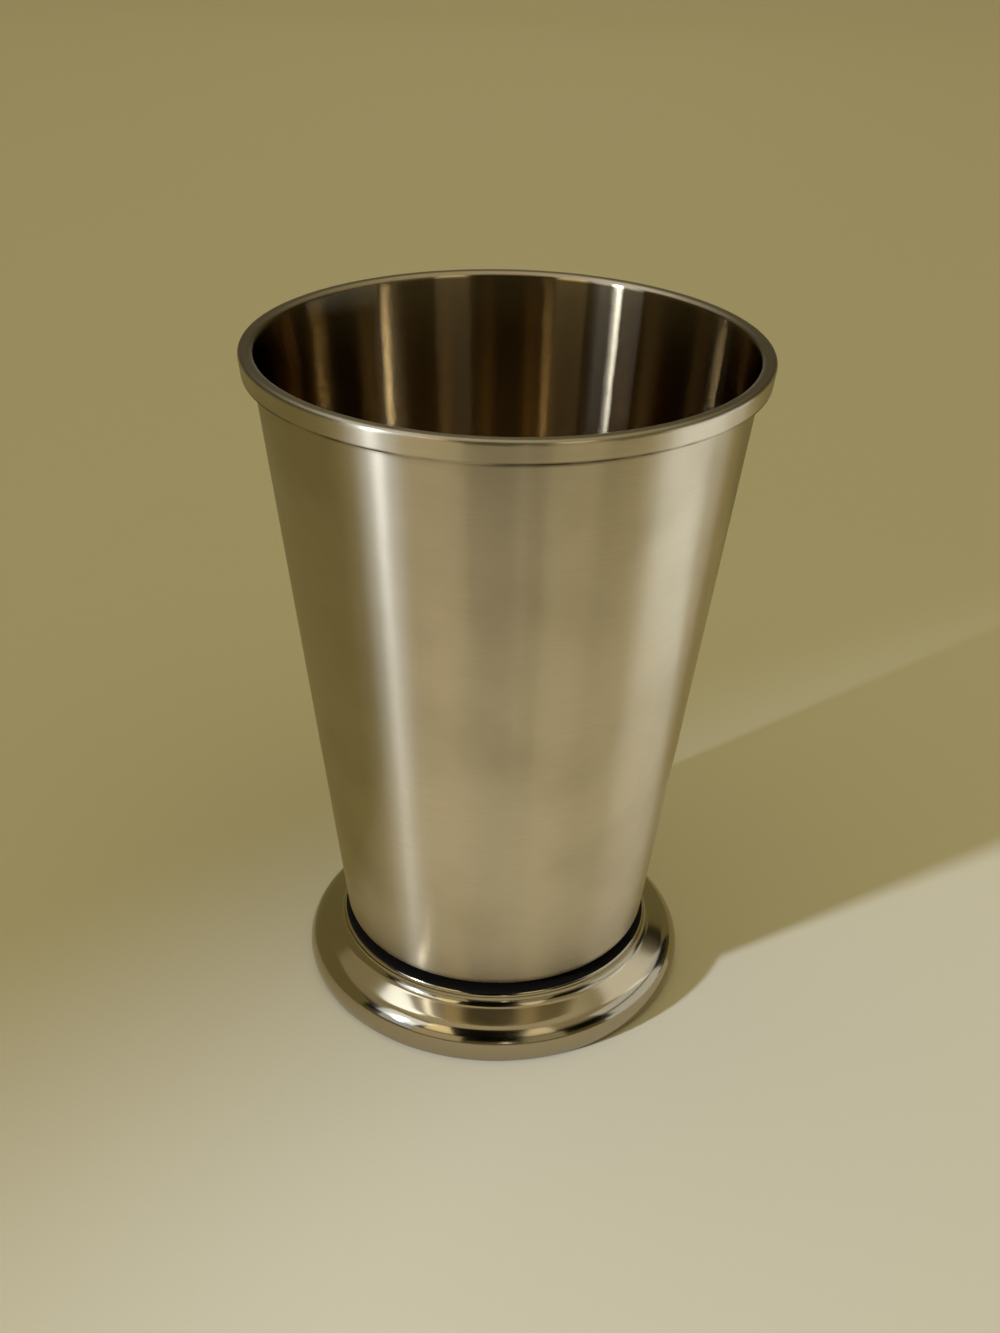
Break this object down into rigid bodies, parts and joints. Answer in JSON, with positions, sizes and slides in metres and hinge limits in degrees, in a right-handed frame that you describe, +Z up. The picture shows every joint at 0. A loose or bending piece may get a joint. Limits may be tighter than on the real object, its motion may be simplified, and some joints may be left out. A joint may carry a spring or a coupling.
{
  "type": "julep cup",
  "caption": "Tapered brushed metal julep cup for iced drinks, with a flat-topped rim band and a low polished foot with an S-curved side.",
  "frame": {"origin": "centre of the ring on which the foot stands, at table height", "axes": "+Z up along the cup's axis, towards the mouth; X and Y are free, because the cup is round"},
  "size_m": [0.086, 0.086, 0.12],
  "materials": {
    "brushed_steel": "satin, brushed round the cup",
    "polished_steel": "mirror polished",
    "filler": "dull"
  },
  "bodies": {
    "root": {"cup_body": "brushed_steel", "rim_band": "brushed_steel", "foot_ring": "polished_steel", "braze_ring": "filler"}
  },
  "joints": []
}
